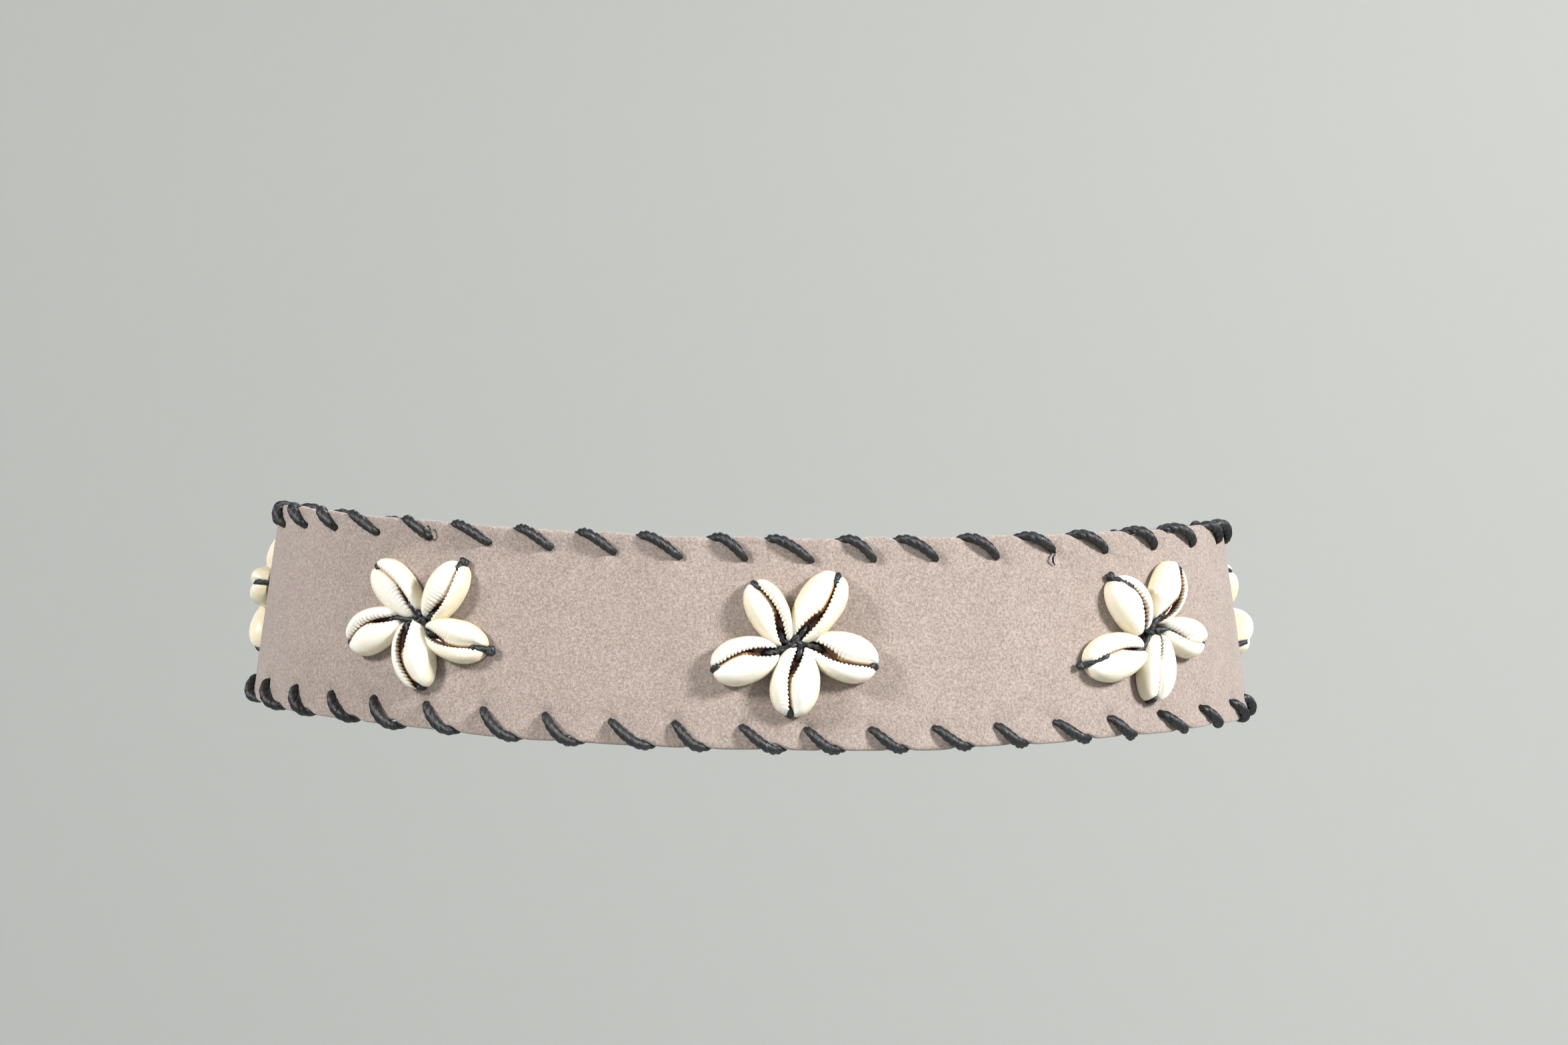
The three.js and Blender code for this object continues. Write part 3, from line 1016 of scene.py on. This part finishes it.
def makeFlowerCord(name, step, petals, rise, material):
    distance, height = flowerPlace(step, rise)
    middle = bandFrame(distance, height, halfThick)
    across, up, out = (middle.col[i].to_3d() for i in range(3))
    centre = middle.translation
    cord = newCordMesh()
    chance = random.Random(len(name))
    arms = []
    knots = 0
    for i, petal in enumerate(petals):
        matrix = petalFrame(distance, height, petal)
        length = petal.long * mm
        leaveAt = petal.leaveAt
        past = petal.past
        away, left, face = (matrix.col[k].to_3d() for k in range(3))
        sideways = left * chance.uniform(-tie["sway"], tie["sway"])
        lift = 0.0011 + 0.0004 * (i * 2 % 5)
        points = [centre - away * 0.0012 + out * (lift - 0.0008) - sideways, centre + out * lift + sideways]
        for along, level in tie["arm"]:
            bend = slitBend(petal, along)
            points.append(matrix @ Vector((length * along, bend, level * mm)))
        dive = leaveAt - tie["dive"]
        bend = slitBend(petal, dive)
        points.append(matrix @ Vector((length * dive, bend, -0.0006)))
        bend = slitBend(petal, leaveAt)
        top = shellHeight * lipHeight(leaveAt) - tie["radius"] - tie["sunk"]
        points.append(matrix @ Vector((length * leaveAt, bend, top)))
        for along in (0.5 * leaveAt + 0.46, 0.955):
            if along > leaveAt + 0.03:
                top = shellHeight * lipHeight(along) - tie["radius"] - tie["sunk"] * 0.6
                points.append(matrix @ Vector((length * along, slitBend(petal, along), top)))
        points.append(matrix @ Vector((length - 0.0007, 0, 0.0019)))
        points.append(matrix @ Vector((length - 0.0006 + past * 0.8, 0, 0.0008)))
        points.append(matrix @ Vector((length - 0.0006 + past, 0, -0.0006)))
        route = smoothRoute(points, tie["step"])
        arms.append(routeLength(route))
        addCord(cord, route, tie["radius"], tie["layLength"], sides=15, ends=(0.6, 0.9))
        if petal.knob:
            end = matrix @ Vector((length - 0.0002 + past, 0, 0.0009))
            knot = knotRoute(end, left, away, face, tie["tipSize"] * petal.knob, tie["tipStep"])
            knots += routeLength(knot)
            addCord(cord, knot, tie["radius"] * 0.68 * petal.knob, tie["tipLay"], sides=9)
    for share, size in tie["turns"]:
        place = centre + out * tie["knotHeight"] * share
        turned = across * math.cos(share * 9) + up * math.sin(share * 9)
        knot = knotRoute(place, turned, out.cross(turned), out, tie["knotSize"] * size, tie["step"])
        knots += routeLength(knot)
        addCord(cord, knot, tie["radius"] * 0.9, tie["layLength"], sides=15)
    piece = finishCord(f"tie_{name}", cord, material, [f"flower_cord_{name}"])
    arms = [round(arm, 4) for arm in arms]
    knots = round(knots, 3)
    print(piece.name + ":", len(piece.data.polygons), "faces, arms", arms, "m, knots", knots, "m")


# The stud keeps its own mesh and gets a finish


def makeStud(material):
    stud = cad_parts["closing_stud"]
    stud.data.materials.clear()
    stud.data.materials.append(material)


# The room: a round wall that curves into its floor, open at the top
room = {
    "floor": -1.1,
    "radius": 4.2,
    "height": 5.0,
    "cove": 1.8,
    "colour": (0.62, 0.63, 0.61),
}


def makeRoom():
    material, _, shader = newMaterial("backdrop")
    shader.inputs["Base Color"].default_value = (*room["colour"], 1)
    shader.inputs["Roughness"].default_value = 0.95
    shader.inputs["Specular IOR Level"].default_value = 0.1
    deselectAll()
    bpy.ops.mesh.primitive_cylinder_add(
        vertices=96,
        radius=room["radius"],
        depth=room["height"],
        location=(0, 0, room["floor"] + room["height"] / 2),
    )
    bowl = bpy.context.object
    bowl.name = "backdrop"
    bpy.ops.object.transform_apply(location=True, rotation=True, scale=True)
    bpy.ops.object.mode_set(mode="EDIT")
    bpy.ops.mesh.select_all(action="DESELECT")
    work = bmesh.from_edit_mesh(bowl.data)
    for face in work.faces:
        face.select_set(face.normal.z > 0.9)
    bmesh.update_edit_mesh(bowl.data)
    bpy.ops.mesh.delete(type="FACE")
    work = bmesh.from_edit_mesh(bowl.data)
    for edge in work.edges:
        low = all(abs(vertex.co.z - room["floor"]) < 0.001 for vertex in edge.verts)
        edge.select_set(low)
    bmesh.update_edit_mesh(bowl.data)
    bpy.ops.mesh.bevel(offset=room["cove"], segments=20, affect="EDGES")
    bpy.ops.mesh.select_all(action="SELECT")
    bpy.ops.mesh.flip_normals()
    bpy.ops.object.mode_set(mode="OBJECT")
    bpy.ops.object.shade_smooth()
    bowl.data.materials.append(material)


lamps = [  # each is aimed at the belt unless it has an aim of its own
    {"name": "left softbox", "place": (-1.28, -0.93, 0.85), "size": 0.36, "power": 34},
    {"name": "right softbox", "place": (1.34, -0.88, 0.75), "size": 0.36, "power": 54},
    {"name": "front fill", "place": (0.0, -1.9, 0.9), "size": 1.2, "power": 2},
    {"name": "top fill", "place": (0.0, 0.4, 2.0), "size": 1.6, "power": 3},
    {"name": "back fill", "place": (0.5, 1.7, 0.9), "size": 0.8, "power": 16},
    {"name": "near wall wash", "place": (0, -2.4, 1.8), "aim": (0, -4.2, 0.3), "size": 1.0, "power": 12},
    {"name": "left wall wash", "place": (-1.3, 1.2, 1.3), "aim": (-1.6, 4.2, 0.9), "size": 1.0, "power": 7},
    {"name": "right wall wash", "place": (1.3, 1.2, 1.3), "aim": (1.6, 4.2, 0.9), "size": 1.0, "power": 40},
]


def makeLamps():
    for lamp in lamps:
        light = bpy.data.lights.new(lamp["name"], "AREA")
        light.shape = "DISK"
        light.size = lamp["size"]
        light.energy = lamp["power"]
        holder = bpy.data.objects.new(lamp["name"], light)
        bpy.context.collection.objects.link(holder)
        holder.location = lamp["place"]
        towards = Vector(lamp.get("aim", (0, 0, 0))) - Vector(lamp["place"])
        holder.rotation_euler = towards.to_track_quat("-Z", "Y").to_euler()
        holder.visible_camera = False
    world = bpy.data.worlds.new("room light")
    world.use_nodes = True
    world.node_tree.nodes["Background"].inputs["Color"].default_value = (0.95, 0.97, 1.0, 1)
    world.node_tree.nodes["Background"].inputs["Strength"].default_value = 0.22
    bpy.context.scene.world = world


# The photograph's view. It is 2352 pixels wide, and its focal length was fitted at 4286 of them.
view = {
    "distance": 0.8,
    "right": 0.0092,
    "height": 0.0252,
    "pitch": math.radians(-0.16),
    "focal": 4286 / 2352,  # as a share of the frame's width
}


def makeCamera():
    camera = bpy.data.cameras.new("camera")
    camera.sensor_width = 36
    camera.lens = view["focal"] * camera.sensor_width
    camera.clip_start = 0.01
    holder = bpy.data.objects.new("camera", camera)
    bpy.context.collection.objects.link(holder)
    holder.location = (view["right"], -view["distance"], view["height"])
    holder.rotation_euler = (math.pi / 2 - view["pitch"], 0, 0)
    bpy.context.scene.camera = holder
    bpy.context.scene.view_settings.view_transform = "Standard"


makeCamera()
makeLamps()
makeRoom()
print("camera, lamps and room are in place")

suede = makeSuede()
waxedCord = makeWaxedCord()
shellGloss = makeShell()
studMetal = makeStudMetal()
print("finishes are made")

makeBand(suede)
for edge in lacing["edges"]:
    makeLacing(edge, waxedCord)
makeCowries(shellGloss)
for name, step, petals, rise in flowers:
    makeFlowerCord(name, step, petals, rise, waxedCord)
makeStud(studMetal)
